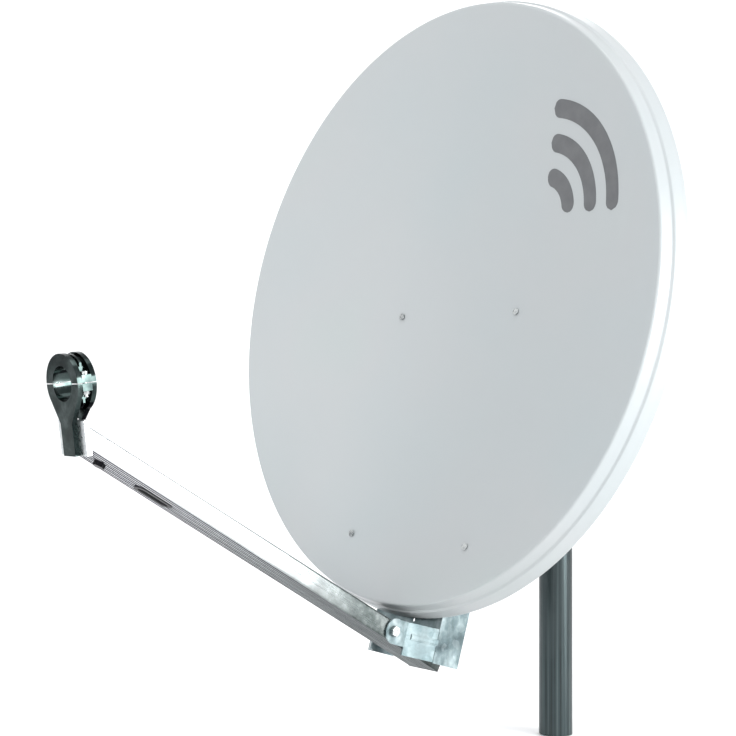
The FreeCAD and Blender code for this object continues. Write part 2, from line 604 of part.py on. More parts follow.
# ------------------------------------------------------------------- feed holder
HALVES = {"saddle": ("-clamp_out - 60", -0.5), "cap": (0.5, "clamp_out + 5")}


def drop(name, front, back, tip_half, tip):
    """A round plate that runs down to a narrow tip."""
    return joined(name, [
        rod(f"{name}_round", "clamp_out", f"({back}) - ({front})", (0, front, 0), "Y"),
        taper(f"{name}_taper", front, back, tip_half, tip)])


def taper(name, front, back, tip_half, tip):
    """The plate's lower part, with straight sides from the round to the tip."""
    side = FreeCAD.Rotation(V(1, 0, 0), V(0, 0, 1), V(0, -1, 0))
    obj = plate(name, [("-0.88 * clamp_out", "-0.475 * clamp_out"),
                       ("0.88 * clamp_out", "-0.475 * clamp_out"),
                       (tip_half, tip), (f"-({tip_half})", tip)], 0, f"({back}) - ({front})", "Z")
    obj.Placement = FreeCAD.Placement(V(0, 0, 0), side)
    obj.setExpression("Placement.Base.y", rule(back))
    return obj


def clamp_body(half):
    """The whole clamp, of which each casting keeps one half."""
    blank = joined(f"{half}_blank", [
        drop(f"{half}_front", 0, 6, "stem_half", -45),
        rod(f"{half}_waist", 29.5, 13, (0, 5.5, 0), "Y"),
        rod(f"{half}_rib", 32.5, 2.6, (0, 10.7, 0), "Y"),
        drop(f"{half}_rear", "clamp_deep - 6", "clamp_deep", 2, -43),
        block(f"{half}_boss_left", (-34, -23), (6, "clamp_deep - 6"), (-9, 9)),
        block(f"{half}_boss_right", (23, 34), (6, "clamp_deep - 6"), (-9, 9)),
    ])
    holes = [rod(f"{half}_bore", "clamp_r", 60, (0, -20, 0), "Y")]
    for side, sign in SIDES.items():
        holes.append(rod(f"{half}_screw_{side}", "screw_r + 0.25", 30, (sign * 29, 12, -15)))
        reach_x = sorted((sign * 23.5, sign * 40))
        holes.append(block(f"{half}_pocket_over_{side}", reach_x, (7, 17), (9, 23)))
        holes.append(block(f"{half}_pocket_under_{side}", reach_x, (7, 17), (-23, -9)))
    part = less(f"{half}_bored", blank, holes)
    low, high = HALVES[half]
    return shared(f"{half}_half", part, block(f"{half}_side", (-60, 60), (-10, 40), (low, high)))


tongue = block("tongue", (-22, 22), (-520, -470), (-6.5, 5.5))
tongue_hole = rod("tongue_hole", "bolt_r", 40, (0, HOLDER_BOLT, -20))
tongue_cut = less("tongue_cut", tongue, [tongue_hole])
tongue_cut.Placement = HOLDER.inverse().multiply(ARM)
stem = block("stem", ("-stem_half", "stem_half"), (0, 6), (-81.5, -40))
neck = block("neck", (-12, 12), (4, 20), (-72.5, -60))
piece("lnb_saddle", joined("saddle_cast", [clamp_body("saddle"), stem, neck, tongue_cut]), HOLDER)
piece("lnb_cap", clamp_body("cap"), HOLDER)
piece("arm_end_cap", less("end_cap", block("end_cap_plate", ("-arm_half", "arm_half"), (6, 13),
                                           (-81.5, -41.5)),
                          [block("end_cap_way", (-12, 12), (5, 14), (-72.5, -60))]), HOLDER)
lnb_screws, lnb_nuts = [], []
for side, sign in SIDES.items():
    lnb_screws.append(joined(f"lnb_screw_{side}", [
        rod(f"lnb_head_{side}", "1.8 * screw_r", 4, (sign * 29, 12, 9)),
        rod(f"lnb_shank_{side}", "screw_r", 25, (sign * 29, 12, -16)),
    ]))
    lnb_nuts.append(nut(f"lnb_nut_{side}", "screw_r", "1.85 * screw_r", 4,
                        (sign * 29, 12, -13), "Z"))
piece("lnb_screws", several("lnb_screw_set", lnb_screws), HOLDER)
piece("lnb_nuts", several("lnb_nut_set", lnb_nuts), HOLDER)

# ------------------------------------------------------------- checks and output
doc.recompute()
for obj in doc.Objects:
    if "Invalid" in obj.State or "Error" in obj.State:
        raise RuntimeError(f"{obj.Name} has failed: {obj.State}")
os.makedirs("parts", exist_ok=True)
for obj in PIECES:
    if obj.Shape.isNull() or not obj.Shape.isValid() or not obj.Shape.Solids:
        raise RuntimeError(f"{obj.Label} has no valid shape")
    obj.Shape.exportStep(f"parts/{obj.Label}.step")
    box = obj.Shape.BoundBox
    print(f"{obj.Label:20s} solids {len(obj.Shape.Solids)} volume {obj.Shape.Volume:10.0f} "
          f"y {box.YMin:7.1f}..{box.YMax:7.1f} z {box.ZMin:7.1f}..{box.ZMax:7.1f}")
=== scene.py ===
"""The finish of the satellite dish: pressed and powder-coated reflector, galvanised
bracketry, sheet feed arm, die-cast feed holder, plated fasteners and the mast stub.

Metres, in the part's own frame: the mast's axis is X = Y = 0, +Z is up and the
reflector looks towards -Y.  Each section makes one piece or group of like pieces.
"""
import json
import math

import bmesh
import bpy
import numpy as np
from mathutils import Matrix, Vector


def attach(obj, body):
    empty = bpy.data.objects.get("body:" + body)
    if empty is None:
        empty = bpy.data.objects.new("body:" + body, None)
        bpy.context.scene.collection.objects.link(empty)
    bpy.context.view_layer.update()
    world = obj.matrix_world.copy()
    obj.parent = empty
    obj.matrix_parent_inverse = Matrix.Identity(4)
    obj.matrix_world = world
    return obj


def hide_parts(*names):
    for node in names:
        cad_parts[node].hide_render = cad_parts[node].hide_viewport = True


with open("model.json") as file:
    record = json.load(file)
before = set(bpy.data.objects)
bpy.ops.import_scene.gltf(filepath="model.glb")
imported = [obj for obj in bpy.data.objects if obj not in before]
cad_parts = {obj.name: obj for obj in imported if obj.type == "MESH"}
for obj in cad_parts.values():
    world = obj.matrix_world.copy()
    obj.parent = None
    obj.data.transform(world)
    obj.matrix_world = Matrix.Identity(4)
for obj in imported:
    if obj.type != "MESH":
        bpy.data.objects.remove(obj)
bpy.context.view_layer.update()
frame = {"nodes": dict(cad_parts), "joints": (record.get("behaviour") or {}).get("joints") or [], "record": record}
nodes = frame["nodes"]
record = frame["record"]
MM = 0.001

# ---------------------------------------------------------------- the mast stub
# A length of 50 mm steel tube, dull grey-green from its zinc bath, with long faint vertical
# streaks that are partly the drawn tube's own grain and partly painted reflections.  A black
# moulded cap keeps the rain out, and the arm's tail plug and cable grommet are the same plastic.


class Finish:
    """A material whose pattern is built from small node steps on Object coordinates."""

    def __init__(self, name, **shader):
        self.material = bpy.data.materials.new(name)
        self.material.use_nodes = True
        self.nodes = self.material.node_tree.nodes
        self.links = self.material.node_tree.links
        self.shader = self.nodes["Principled BSDF"]
        for socket, value in shader.items():
            self.shader.inputs[socket.replace("_", " ")].default_value = value
        self.place = self.nodes.new("ShaderNodeTexCoord").outputs["Object"]

    def step(self, kind, inputs=(), out=0, **settings):
        """Adds a node, feeds its named inputs and returns one of its outputs."""
        node = self.nodes.new("ShaderNode" + kind)
        for key, value in settings.items():
            setattr(node, key, value)
        for key, value in dict(inputs).items():
            if isinstance(value, bpy.types.NodeSocket):
                self.links.new(value, node.inputs[key])
            else:
                node.inputs[key].default_value = value
        return node.outputs[out]

    def stretched(self, scale, turn=(0, 0, 0)):
        """Object coordinates turned and then scaled by a different amount on each axis."""
        turned = self.step("Mapping", {"Vector": self.place, "Rotation": turn})
        return self.step("Mapping", {"Vector": turned, "Scale": scale})

    def noise(self, scale, detail=3.0, place=None, roughness=0.5):
        """Cloudy noise between 0 and 1."""
        return self.step("TexNoise", {"Vector": place or self.place, "Scale": scale,
                                      "Detail": detail, "Roughness": roughness})

    def ramp(self, amount, *stops):
        """A colour ramp, from (position, colour) stops, or a grey one from (position, value)."""
        node = self.nodes.new("ShaderNodeValToRGB")
        self.links.new(amount, node.inputs[0])
        elements = node.color_ramp.elements
        while len(elements) < len(stops):
            elements.new(0.5)
        for element, (position, colour) in zip(elements, stops):
            element.position = position
            element.color = (*colour, 1) if hasattr(colour, "__len__") else (colour,) * 3 + (1,)
        return node.outputs["Color"]

    def mixed(self, amount, first, second, blend="MIX"):
        """Two colours mixed by an amount."""
        return self.step("Mix", {0: amount, 6: first, 7: second}, out=2,
                         data_type="RGBA", blend_type=blend)

    def uses(self, socket, value):
        """Feeds one of the shader's inputs."""
        self.links.new(value, self.shader.inputs[socket])

    def bumps(self, height, strength, distance, under=None):
        """A small relief, laid over another if there is one."""
        inputs = {"Height": height, "Strength": strength, "Distance": distance}
        if under:
            inputs["Normal"] = under
        normal = self.step("Bump", inputs)
        self.uses("Normal", normal)
        return normal

    def on(self, *objects):
        """Puts the finish on objects, in place of what they had."""
        for obj in objects:
            obj.data.materials.clear()
            obj.data.materials.append(self.material)


mast_steel = Finish("mast_steel", Metallic=0.8)
drawn_streaks_and_reflections = mast_steel.noise(1.0, 5, mast_steel.stretched((210, 210, 1.6)))
blotches = mast_steel.noise(14, 5)
# the vertical streaks in the colour are partly the drawn tube's grain and partly painted reflections
mast_steel.uses("Base Color", mast_steel.mixed(
    mast_steel.ramp(blotches, (0.35, 0.0), (0.75, 0.5)),
    mast_steel.ramp(drawn_streaks_and_reflections, (0.30, (0.020, 0.025, 0.026)), (0.52, (0.042, 0.058, 0.061)),
                    (0.72, (0.095, 0.125, 0.127))),
    (0.060, 0.074, 0.076, 1)))
mast_steel.uses("Roughness", mast_steel.ramp(drawn_streaks_and_reflections, (0.2, 0.24), (0.8, 0.40)))
mast_steel.bumps(drawn_streaks_and_reflections, 0.15, 0.0004)
mast_steel.on(nodes["mast_tube"])

black_plastic = Finish("black_plastic", Roughness=0.55)
grain = black_plastic.noise(900, 2)
black_plastic.uses("Base Color", black_plastic.ramp(
    black_plastic.noise(30), (0.3, (0.018, 0.018, 0.020)), (0.7, (0.034, 0.034, 0.036))))
black_plastic.bumps(grain, 0.25, 0.0002)


def eased(width, *names):
    """Joins each named node's faces and rounds its sharp edges by a width, as modifiers."""
    for name in names:
        obj = nodes[name]
        weld = obj.modifiers.new("weld", "WELD")
        weld.merge_threshold = 2e-6
        flat = obj.modifiers.new("flat", "DECIMATE")
        flat.decimate_type = "DISSOLVE"
        flat.angle_limit = math.radians(0.6)
        bevel = obj.modifiers.new("bevel", "BEVEL")
        bevel.width = width
        bevel.segments = 3
        bevel.limit_method = "ANGLE"
        bevel.angle_limit = math.radians(28)
        bevel.miter_outer = "MITER_ARC"
        bevel.harden_normals = True
        obj.data.shade_smooth()
        smooth = obj.modifiers.new("normals", "WEIGHTED_NORMAL")
        smooth.keep_sharp = True


black_plastic.on(*(nodes[name] for name in ("mast_cap", "arm_tail_plug", "cable_grommet")))
eased(1.0 * MM, "mast_cap")

# ------------------------------------------------------ galvanised steel bracketry
# The mast bracket, the channel behind the dish with its arm cradle, the two cross
# straps and the stop bar are pressed steel sheet, hot-dipped: bluish grey, softly
# spangled, with paler runs where the zinc drained.

galvanised = Finish("galvanised", Metallic=0.9)
spangle = galvanised.step("TexVoronoi", {"Vector": galvanised.place, "Scale": 95.0,
                                         "Randomness": 1.0}, out=1, feature="F1")
spangle_grey = galvanised.step("RGBToBW", {"Color": spangle})
cloud = galvanised.noise(38, 5, roughness=0.6)
runs = galvanised.noise(1.0, 4, galvanised.stretched((70, 70, 9)))
zinc_tone = galvanised.ramp(cloud, (0.30, (0.055, 0.080, 0.088)), (0.48, (0.140, 0.190, 0.200)),
                            (0.60, (0.250, 0.310, 0.320)), (0.74, (0.460, 0.520, 0.530)))
zinc_tone = galvanised.mixed(galvanised.ramp(spangle_grey, (0.2, 0.0), (0.9, 0.30)),
                             zinc_tone, (0.36, 0.42, 0.43, 1))
galvanised.uses("Base Color", galvanised.mixed(
    galvanised.ramp(runs, (0.45, 0.0), (0.75, 0.60)), zinc_tone, (0.070, 0.095, 0.100, 1)))
galvanised.uses("Roughness", galvanised.ramp(cloud, (0.25, 0.30), (0.8, 0.50)))
under = galvanised.bumps(spangle_grey, 0.06, 0.0006)
galvanised.bumps(galvanised.noise(420, 3), 0.10, 0.0003, under)
PRESSINGS = ("mast_bracket", "dish_bracket", "lower_strap", "upper_strap", "stop_bar")
galvanised.on(*(nodes[name] for name in PRESSINGS))
eased(0.5 * MM, *PRESSINGS)

# ----------------------------------------------------------- mast saddles and jaws
# Four vee blocks of die-cast alloy that grip the mast, sand-grey with a fine skin.

cast_alloy = Finish("cast_alloy", Metallic=0.75, Roughness=0.52)
cast_alloy.uses("Base Color", cast_alloy.ramp(
    cast_alloy.noise(55, 6), (0.3, (0.33, 0.35, 0.36)), (0.7, (0.50, 0.52, 0.53))))
cast_alloy.bumps(cast_alloy.noise(650, 3), 0.3, 0.0004)
MAST_GRIPS = ("lower_saddle", "upper_saddle", "lower_jaw", "upper_jaw")
cast_alloy.on(*(nodes[name] for name in MAST_GRIPS))
eased(1.2 * MM, *MAST_GRIPS)

# ------------------------------------------------------------------ bolts and nuts
# Every fastener is turned or cold-headed steel with bright zinc plate, but for the
# blackened bolt under the feed holder.

zinc = Finish("zinc", Metallic=1.0)
wear = zinc.noise(240, 4)
zinc.uses("Base Color", zinc.ramp(wear, (0.3, (0.34, 0.36, 0.36)), (0.7, (0.56, 0.58, 0.57))))
zinc.uses("Roughness", zinc.ramp(wear, (0.3, 0.20), (0.8, 0.38)))
zinc.bumps(zinc.noise(900, 2), 0.10, 0.0002)
FASTENERS = ("clamp_bolts", "clamp_washers", "clamp_nuts", "elevation_bolt", "elevation_nut",
             "elevation_washers", "lock_bolts", "lock_washers", "lock_nuts", "strap_bolts",
             "strap_nuts", "reflector_bolts", "reflector_nuts", "fold_bolt", "fold_nut",
             "lnb_screws", "lnb_nuts")
zinc.on(*(nodes[name] for name in FASTENERS))
eased(0.35 * MM, *FASTENERS)

blackened = Finish("blackened_steel", Metallic=1.0, Roughness=0.36)
blackened.uses("Base Color", blackened.ramp(
    blackened.noise(180, 3), (0.3, (0.012, 0.012, 0.014)), (0.7, (0.036, 0.036, 0.040))))
blackened.on(nodes["holder_bolt"])
eased(0.35 * MM, "holder_bolt")

# ------------------------------------------------------------------- the reflector
# One pressed sheet: an offset dish cut from a paraboloid, folded over at its rim
# into a skirt with a step part of the way back and a rolled hem, powder-coated in
# a pale bluish grey.

RIM_CENTRE = np.array([0, -271, 640]) * MM
RIM_LEAN = math.radians(10.2)
RIM_BACK = np.array([0, math.cos(RIM_LEAN), -math.sin(RIM_LEAN)])
RIM_UP = np.array([0, math.sin(RIM_LEAN), math.cos(RIM_LEAN)])
OFFSET = math.radians(21.1)
FOCAL = 502 * MM
HALF_WIDE = 390 * MM
HALF_TALL = HALF_WIDE / math.cos(OFFSET)
SHEET = 2.0 * MM
COLUMNS, BOWL_ROWS, FOLD_ROWS = 256, 72, 14


def bowl_depth(x, up):
    """Depth of the face behind the rim's plane: the parent paraboloid's height over its
    chord, read along the boresight and found by substituting it into itself."""
    depth = np.zeros_like(x)
    for _ in range(12):
        along = (up + depth * math.sin(OFFSET)) * math.cos(OFFSET)
        depth = (HALF_WIDE ** 2 - x ** 2 - along ** 2) / (4 * FOCAL)
    return depth * math.cos(OFFSET)


def in_dish(x, up, back):
    """Points of the part's frame from distances across, up and behind the rim's plane."""
    return (RIM_CENTRE + np.multiply.outer(x, [1, 0, 0]) + np.multiply.outer(up, RIM_UP)
            + np.multiply.outer(back, RIM_BACK))


def bezier(points, count):
    """Samples of a cubic Bezier curve between its two end points, by way of two handles."""
    share = np.linspace(0, 1, count).reshape((-1,) + (1,) * np.ndim(points[0]))
    rest = 1 - share
    weights = (rest ** 3, 3 * share * rest ** 2, 3 * share ** 2 * rest, share ** 3)
    return sum(weight * point for weight, point in zip(weights, points))


def grid_faces(rows, columns, around=False, start=0):
    """Four-sided faces between the points of a grid, closed round its columns if asked."""
    row, column = np.meshgrid(np.arange(rows - 1), np.arange(columns if around else columns - 1),
                              indexing="ij")
    after = (column + 1) % columns
    faces = np.stack([row * columns + column, row * columns + after,
                      (row + 1) * columns + after, (row + 1) * columns + column], -1)
    return faces.reshape(-1, 4) + start


def made(name, points, faces, body, finish, smooth_angle=35):
    """A finished mesh: doubles merged, faces outward, on its body and with its finish."""
    mesh = bpy.data.meshes.new(name)
    mesh.from_pydata(np.asarray(points).reshape(-1, 3).tolist(), [], np.asarray(faces).tolist())
    shape = bmesh.new()
    shape.from_mesh(mesh)
    bmesh.ops.remove_doubles(shape, verts=shape.verts, dist=1e-6)
    bmesh.ops.dissolve_degenerate(shape, edges=shape.edges, dist=1e-7)
    bmesh.ops.recalc_face_normals(shape, faces=shape.faces)
    shape.to_mesh(mesh)
    shape.free()
    mesh.shade_smooth()
    mesh.set_sharp_from_angle(angle=math.radians(smooth_angle))
    obj = bpy.data.objects.new(name, mesh)
    bpy.context.scene.collection.objects.link(obj)
    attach(obj, body)
    finish.on(obj)
    return obj


def grid_normals(points):
    """Unit normals of a grid that is closed round its columns, from its points' differences."""
    down = np.gradient(points, axis=0)
    across = np.roll(points, -1, 1) - np.roll(points, 1, 1)
    normal = np.cross(down, across)
    return normal / np.maximum(np.linalg.norm(normal, axis=-1, keepdims=True), 1e-12)


def walled(points, thickness, round_steps=4):
    """Gives a grid that is closed round its columns a wall: a second skin set back along the
    normals, and a half-round edge that joins the two past the last row."""
    normal = grid_normals(points)
    # the first row is one point, so it takes the mean of the row beside it
    normal[0] = normal[1].mean(0) / np.linalg.norm(normal[1].mean(0))
    inside = points + normal * thickness
    middle = (points[-1] + inside[-1]) / 2
    run = points[-1] - points[-2]
    run /= np.linalg.norm(run, axis=-1, keepdims=True)
    turn = np.linspace(0, math.pi, round_steps + 2)[1:-1, None, None]
    edge = middle + thickness / 2 * (np.sin(turn) * run - np.cos(turn) * normal[-1])
    return np.concatenate([points, edge, inside[::-1]])


turn = np.linspace(0, 2 * math.pi, COLUMNS, endpoint=False)
rim = np.stack([HALF_WIDE * np.sin(turn), HALF_TALL * np.cos(turn)], -1)
outward = np.stack([HALF_TALL * np.sin(turn), HALF_WIDE * np.cos(turn)], -1)
outward /= np.linalg.norm(outward, axis=-1, keepdims=True)

FOLD_IN = 7.5 * MM
edge = rim - FOLD_IN * outward
# rows from the middle to the fold, a little closer together towards the fold
share = np.linspace(0, 1, BOWL_ROWS)[:, None]
share = share * (1.25 - 0.25 * share)
bowl_x, bowl_up = share * edge[:, 0], share * edge[:, 1]
bowl = in_dish(bowl_x, bowl_up, bowl_depth(bowl_x, bowl_up))

# the skirt's outline for one place on the rim: distance out from the rim and back from it
SKIRT_OUT = np.array([1.1, 2.4, 4.9, 5.5, 6.1, 7.6, 8.3, 8.8, 11.2, 12.6, 13.2, 14.2]) * MM
SKIRT_BACK = np.array([4.0, 8.0, 15.6, 17.1, 17.7, 18.5, 19.3, 20.6, 28.5, 33.0, 34.6, 36.6]) * MM
# the fold leaves the bowl along its slope and comes into the skirt along the skirt's
FOLD_PULL, SKIRT_PULL = 5.4 * MM, 4.32 * MM
SKIRT_FLARE = 0.31
edge_back = bowl_depth(*edge.T)
PROBE = 0.5 * MM
slope = (bowl_depth(*(edge + PROBE * outward).T) - edge_back) / PROBE
fold = bezier([
    np.stack([np.full(COLUMNS, -FOLD_IN), edge_back]),
    np.stack([np.full(COLUMNS, FOLD_PULL - FOLD_IN), edge_back + slope * FOLD_PULL]),
    np.stack([np.full(COLUMNS, SKIRT_OUT[0] - SKIRT_FLARE * SKIRT_PULL),
              np.full(COLUMNS, SKIRT_BACK[0] - SKIRT_PULL)]),
    np.stack([np.full(COLUMNS, SKIRT_OUT[0]), np.full(COLUMNS, SKIRT_BACK[0])]),
], FOLD_ROWS)
out = np.concatenate([fold[1:, 0], np.repeat(SKIRT_OUT[1:, None], COLUMNS, 1)])
back = np.concatenate([fold[1:, 1], np.repeat(SKIRT_BACK[1:, None], COLUMNS, 1)])
skirt_x = rim[:, 0] + out * outward[:, 0]
skirt_up = rim[:, 1] + out * outward[:, 1]
shell = walled(np.concatenate([bowl, in_dish(skirt_x, skirt_up, back)]), SHEET)

powder_coat = Finish("reflector_coat", Roughness=0.38, Coat_Weight=0.25, Coat_Roughness=0.28)
drift = powder_coat.noise(3.2, 2)
powder_coat.uses("Base Color", powder_coat.ramp(
    drift, (0.30, (0.322, 0.352, 0.360)), (0.55, (0.336, 0.354, 0.360)),
    (0.75, (0.326, 0.360, 0.358))))
peel = powder_coat.noise(520, 2)
powder_coat.bumps(peel, 0.10, 0.0002)

reflector = made("reflector_shell", shell, grid_faces(len(shell), COLUMNS, around=True),
                 "dish", powder_coat, smooth_angle=50)
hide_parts("reflector")

# ------------------------------------------------------------- the printed emblem
# A plain signal sign, three arcs about one point, printed in dark grey on the upper
# part of the face.  Each arc is a thin film that follows the bowl.

print_grey = Finish("print_grey", Roughness=0.5)
print_grey.uses("Base Color", print_grey.ramp(
    print_grey.noise(60), (0.3, (0.085, 0.088, 0.092)), (0.7, (0.105, 0.108, 0.112))))
SIGN_X, SIGN_UP = 150 * MM, 120 * MM
SIGN_RADII = (48 * MM, 92 * MM, 136 * MM)
SIGN_TURN, SIGN_REACH = math.radians(38), math.radians(44)
STROKE = 24 * MM
FILM = 0.3 * MM


def film(name, x, up):
    """A closed film over a patch of the face, from a grid of places across and up."""
    top = in_dish(x, up, bowl_depth(x, up) - FILM)
    base = in_dish(x, up, bowl_depth(x, up) + FILM)
    rows, columns = x.shape
    skins = np.concatenate([top.reshape(-1, 3), base.reshape(-1, 3)])
    faces = grid_faces(rows, columns)
    low = grid_faces(rows, columns, start=rows * columns)[:, ::-1]
    loop = np.concatenate([np.arange(columns), np.arange(1, rows) * columns + columns - 1,
                           np.arange(columns - 2, -1, -1) + (rows - 1) * columns,
                           np.arange(rows - 2, 0, -1) * columns])
    after = np.roll(loop, -1)
    sides = np.stack([after, loop, loop + rows * columns, after + rows * columns], -1)
    return made(name, skins, np.concatenate([faces, low, sides]), "dish",
                print_grey)


for number, radius in enumerate(SIGN_RADII, 1):
    # an arc with round ends: the stroke's half width follows a circle at each end
    half = STROKE / 2
    half_long = radius * SIGN_REACH
    along = np.linspace(-1, 1, 72)
    over = np.clip(np.abs(along) - (1 - half / half_long), 0, None) * half_long / half
    width = half * np.sqrt(np.clip(1 - over ** 2, 0.0004, 1))
    angle = SIGN_TURN + SIGN_REACH * along
    distance = radius + np.linspace(-1, 1, 7)[:, None] * width
    film(f"emblem_arc_{number}", SIGN_X + distance * np.cos(angle),
         SIGN_UP + distance * np.sin(angle))

# --------------------------------------------------------- rubber reflector spacers
# Four short rubber sleeves between the straps and the back of the dish.

rubber = Finish("rubber", Roughness=0.75)
rubber.uses("Base Color", rubber.ramp(
    rubber.noise(120), (0.3, (0.018, 0.018, 0.018)), (0.7, (0.032, 0.032, 0.031))))
rubber.bumps(rubber.noise(700, 2), 0.3, 0.0003)
rubber.on(nodes["reflector_spacers"])

# -------------------------------------------------------------------- the feed arm
# A wide, flat tube folded from bright sheet, tapering towards the feed.  Its
# underside has fine lengthwise grooves and an oval slot for the cable.

fold_joint = [joint for joint in frame["joints"] if joint["name"] == "arm_fold"][0]
ARM_ORIGIN = np.array(fold_joint["pos_m"])
ARM_RISE = math.radians(30.4)
ARM_BACK = np.array([0, math.cos(ARM_RISE), -math.sin(ARM_RISE)])
ARM_OVER = np.array([0, math.sin(ARM_RISE), math.cos(ARM_RISE)])
ARM_HALF = 28 * MM
ARM_TAIL, ARM_REACH = 103 * MM, 545 * MM
ARM_WALL = 2 * MM
CORNER = 2.6 * MM
# heights of the underside and the top over the fold bolt, at the tail and at the front
FLOOR_TAIL, FLOOR_FRONT = -14.4 * MM, -11.3 * MM
TOP_TAIL, TOP_FRONT = 12.8 * MM, 9.4 * MM
FRONT_Y, TAIL_Y = -0.80, -0.30


def along_arm(finish, *stops):
    """A colour or a value that changes from the arm's front end to its tail."""
    y = finish.step("SeparateXYZ", {"Vector": finish.place}, out=1)
    share = finish.step("MapRange", {"Value": y, "From Min": FRONT_Y, "From Max": TAIL_Y})
    return finish.ramp(share, *stops)


arm_sheet = Finish("arm_sheet", Metallic=1.0)
arm_place = arm_sheet.stretched((300, 5, 300), (ARM_RISE, 0, 0))
draw = arm_sheet.noise(1.0, 4, arm_place)
mottle = arm_sheet.noise(30, 5, roughness=0.7)
# painted light on the sides: the bright streaky tone near the front end is a painted sheen; the dark mottle it
# turns into, and the multiply that darkens the tail, are painted shade near the dish
bright = arm_sheet.ramp(draw, (0.25, (0.60, 0.63, 0.64)), (0.75, (0.78, 0.80, 0.80)))
cloudy = arm_sheet.ramp(mottle, (0.36, (0.065, 0.082, 0.078)), (0.52, (0.150, 0.180, 0.174)),
                        (0.68, (0.360, 0.400, 0.392)))
sheen_to_shade = arm_sheet.mixed(
    along_arm(arm_sheet, (0.15, 0.0), (0.45, 0.45), (0.80, 0.95)), bright, cloudy)
arm_sheet.uses("Base Color", arm_sheet.mixed(
    1.0, sheen_to_shade, along_arm(arm_sheet, (0.50, 1.0), (0.95, 0.45)), blend="MULTIPLY"))
arm_sheet.uses("Roughness", arm_sheet.ramp(draw, (0.2, 0.22), (0.8, 0.36)))
arm_sheet.bumps(draw, 0.10, 0.0002)

# the underside and the top take a painted shade: a dull dark colour, darkest and purplish at the front end, set
# against the bright sides
arm_painted_shade = Finish("arm_painted_shade", Specular_IOR_Level=0.05)
rolled = arm_painted_shade.noise(1.0, 4, arm_painted_shade.stretched((260, 6, 260), (ARM_RISE, 0, 0)))
arm_painted_shade.uses("Base Color", arm_painted_shade.mixed(
    arm_painted_shade.ramp(rolled, (0.30, 0.0), (0.70, 0.75)),
    along_arm(arm_painted_shade, (0.0, (0.044, 0.038, 0.050)), (0.55, (0.062, 0.062, 0.068)),
              (1.0, (0.150, 0.162, 0.165))),
    along_arm(arm_painted_shade, (0.0, (0.080, 0.072, 0.088)), (1.0, (0.250, 0.265, 0.268)))))
arm_painted_shade.uses("Roughness", arm_painted_shade.ramp(rolled, (0.2, 0.70), (0.8, 0.85)))
arm_painted_shade.bumps(rolled, 0.12, 0.0002)
arm_sheet.on(nodes["arm_end_cap"])
eased(0.5 * MM, "arm_end_cap")


def in_arm(x, along, over):
    """Points of the part's frame from distances across, along and over the arm."""
    return (ARM_ORIGIN + np.multiply.outer(x, [1, 0, 0]) + np.multiply.outer(along, ARM_BACK)
            + np.multiply.outer(over, ARM_OVER))


def arm_heights(along, low, high):
    """Heights of the arm's underside or top, linear from its tail to its front end."""
    share = (ARM_TAIL - along) / (ARM_TAIL + ARM_REACH)
    return low + share * (high - low)


GROOVES = np.array([-21, -14, -7, 0, 7, 14, 21]) * MM
GROOVE_DEEP, GROOVE_HALF = 0.9 * MM, 1.5 * MM
floor_x = np.linspace(CORNER - ARM_HALF, ARM_HALF - CORNER, 121)
gap = np.minimum(np.abs(floor_x[:, None] - GROOVES) / GROOVE_HALF, 1)
groove = GROOVE_DEEP * (0.5 + 0.5 * np.cos(math.pi * gap)).sum(1)
CORNER_STEPS, TOP_STEPS = 6, 7


def arm_loop(inset, groove_depth):
    """The arm's section, floor, side, top and side: each point's x, its height from the
    floor or the top, and whether it goes by the top."""
    half = ARM_HALF - inset
    radius = max(CORNER - inset, 0.4 * MM)
    floor = np.linspace(radius - half, half - radius, len(floor_x))
    quarter = np.radians(np.linspace(0, 90, CORNER_STEPS + 1))[1:]
    right = (half - radius + radius * np.sin(quarter), radius - radius * np.cos(quarter))
    roof = np.linspace(half - radius, radius - half, TOP_STEPS + 2)[1:-1]
    x = [floor, right[0], right[0][::-1], roof, -right[0], -right[0][::-1][:-1]]
    lift = [groove_depth, right[1], -right[1][::-1], np.zeros(TOP_STEPS), -right[1],
            right[1][::-1][:-1]]
    on_top = np.repeat([False, True, False], [len(floor) + CORNER_STEPS,
                                              TOP_STEPS + 2 * CORNER_STEPS, CORNER_STEPS - 1])
    return np.concatenate(x), np.concatenate(lift), on_top


HOLDER_TILT = math.radians(7)
HOLDER_BACK = np.array([0, math.cos(HOLDER_TILT), math.sin(HOLDER_TILT)])
clamp_mount = [mount for mount in record["mounts"] if mount["name"] == "feed_clamp"][0]
CLAMP_DEEP = clamp_mount["dims"]["length_mm"] * MM
HOLDER_ORIGIN = np.array(clamp_mount["pos_m"]) - HOLDER_BACK * CLAMP_DEEP / 2
END_BACK = 13 * MM


def front_of_arm(over):
    """Where the arm meets the plane of its end cap's back, along the arm, at a height."""
    start = (HOLDER_ORIGIN + HOLDER_BACK * END_BACK - ARM_ORIGIN
             - np.multiply.outer(over, ARM_OVER))
    return (start @ HOLDER_BACK) / (ARM_BACK @ HOLDER_BACK)


def arm_skin(inset, groove_depth):
    """The arm's outer or inner skin: its section at each station between front and tail."""
    x, lift, on_top = arm_loop(inset, groove_depth)

    def heights(along):
        """Heights of the section's points where they lie along the arm."""
        low = arm_heights(along, FLOOR_TAIL + inset, FLOOR_FRONT + inset)
        high = arm_heights(along, TOP_TAIL - inset, TOP_FRONT - inset)
        return np.where(on_top, high, low) + lift

    along = np.zeros((len(STATIONS), len(x)))
    for _ in range(4):
        front = front_of_arm(heights(along))
        along = front + STATIONS[:, None] * (ARM_TAIL - front)
    return in_arm(np.broadcast_to(x, along.shape), along, heights(along))


